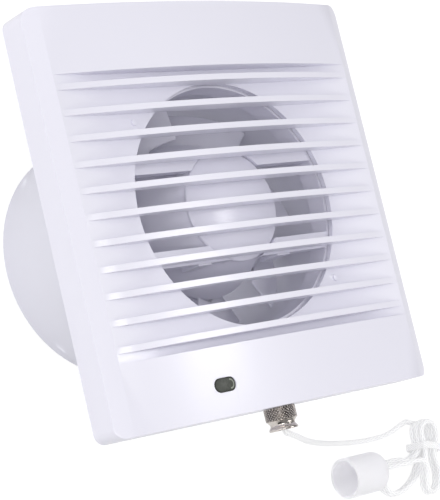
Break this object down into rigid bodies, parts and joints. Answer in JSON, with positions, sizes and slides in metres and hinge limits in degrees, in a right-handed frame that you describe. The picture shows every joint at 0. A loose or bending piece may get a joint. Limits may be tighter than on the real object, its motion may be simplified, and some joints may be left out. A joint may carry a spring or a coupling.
{
  "type": "wall exhaust fan",
  "caption": "Square white wall exhaust fan for a round duct, with a curved louvred cover, an impeller round its motor, an indicator lens and a pull-cord switch with a bell",
  "frame": {"origin": "centre of the duct spigot's rear rim, on the surface that the fan lies on", "axes": "+Z along the duct's axis, out of the louvred face; +Y towards the cover's top edge; +X to the right as seen from the front. The pull cord leaves towards -Y"},
  "size_m": [0.2293, 0.1994, 0.0925],
  "materials": {
    "white_plastic": "smooth satin-gloss moulded plastic",
    "base_plastic": "smooth satin moulded plastic",
    "lens_plastic": "clear smoked plastic, polished",
    "lamp_plastic": "tinted epoxy lens",
    "board": "solder-masked circuit board",
    "nickel": "warm grey plated steel, knurled",
    "zinc_steel": "zinc-plated steel",
    "laminations": "stacked electrical steel sheets",
    "bobbin": "plain nylon",
    "copper": "enamelled copper wire",
    "die_cast": "pressed and tumbled aluminium",
    "bronze": "sintered bronze",
    "felt": "oil-soaked felt",
    "shaft_steel": "ground steel",
    "nylon": "natural nylon",
    "rubber": "soft black rubber",
    "brown_plastic": "brown phenolic moulding",
    "brass_strip": "stamped brass strip",
    "cord": "braided white polyester cord",
    "frosted_plastic": "frosted translucent plastic"
  },
  "bodies": {
    "fan_body": {"front_cover": "white_plastic", "indicator_lens": "lens_plastic", "indicator_lamp": "lamp_plastic", "indicator_board": "board", "base_frame": "base_plastic", "motor_bracket": "white_plastic", "hub_cap": "white_plastic", "bracket_screws": "zinc_steel", "stator_core": "laminations", "coil_bobbins": "bobbin", "field_coils": "copper", "front_bearing_bracket": "die_cast", "rear_bearing_bracket": "die_cast", "front_bearing": "bronze", "rear_bearing": "bronze", "oil_felts": "felt", "stator_spacers": "die_cast", "motor_screws": "zinc_steel", "terminal_block": "nylon", "terminal_screws": "zinc_steel", "cable_grommet": "rubber", "cable_clamp": "nylon", "clamp_screws": "zinc_steel", "switch_body": "brown_plastic", "switch_cover": "zinc_steel", "switch_contacts": "brass_strip", "switch_bush": "nickel", "switch_nut": "nickel", "switch_spring": "shaft_steel"},
    "rotor": {"motor_shaft": "shaft_steel", "rotor_core": "laminations", "rotor_cage": "die_cast", "thrust_washers": "nylon", "impeller": "white_plastic", "impeller_washer": "zinc_steel", "impeller_nut": "zinc_steel"},
    "pull": {"pull_slider": "nylon", "cord_lead": "cord", "cord_hank": "cord", "cord_tie": "cord", "cord_tail": "cord", "bell_knot": "cord", "pull_bell": "frosted_plastic"},
    "switch_rotor": {"switch_cam": "nylon"}
  },
  "joints": [
    {"name": "impeller_spin", "type": "hinge", "parent": "fan_body", "child": "rotor", "pos_m": [0, 0, 0.05], "axis": [0, 0, -1], "continuous": true},
    {"name": "cord_pull", "type": "slide", "parent": "fan_body", "child": "pull", "axis": [0, -1, 0], "range_m": [0, 0.006], "stiffness_N_per_m": 400, "springref_m": -0.004, "deforming": ["switch_spring"]},
    {"name": "cam_turn", "type": "hinge", "parent": "fan_body", "child": "switch_rotor", "pos_m": [0.00795, -0.0647, 0.08], "axis": [0, 0, 1], "range_deg": [0, 46]}
  ],
  "couplings": [
    {"joint": "cam_turn", "follows": "cord_pull", "rad_per_m": 130.9}
  ]
}
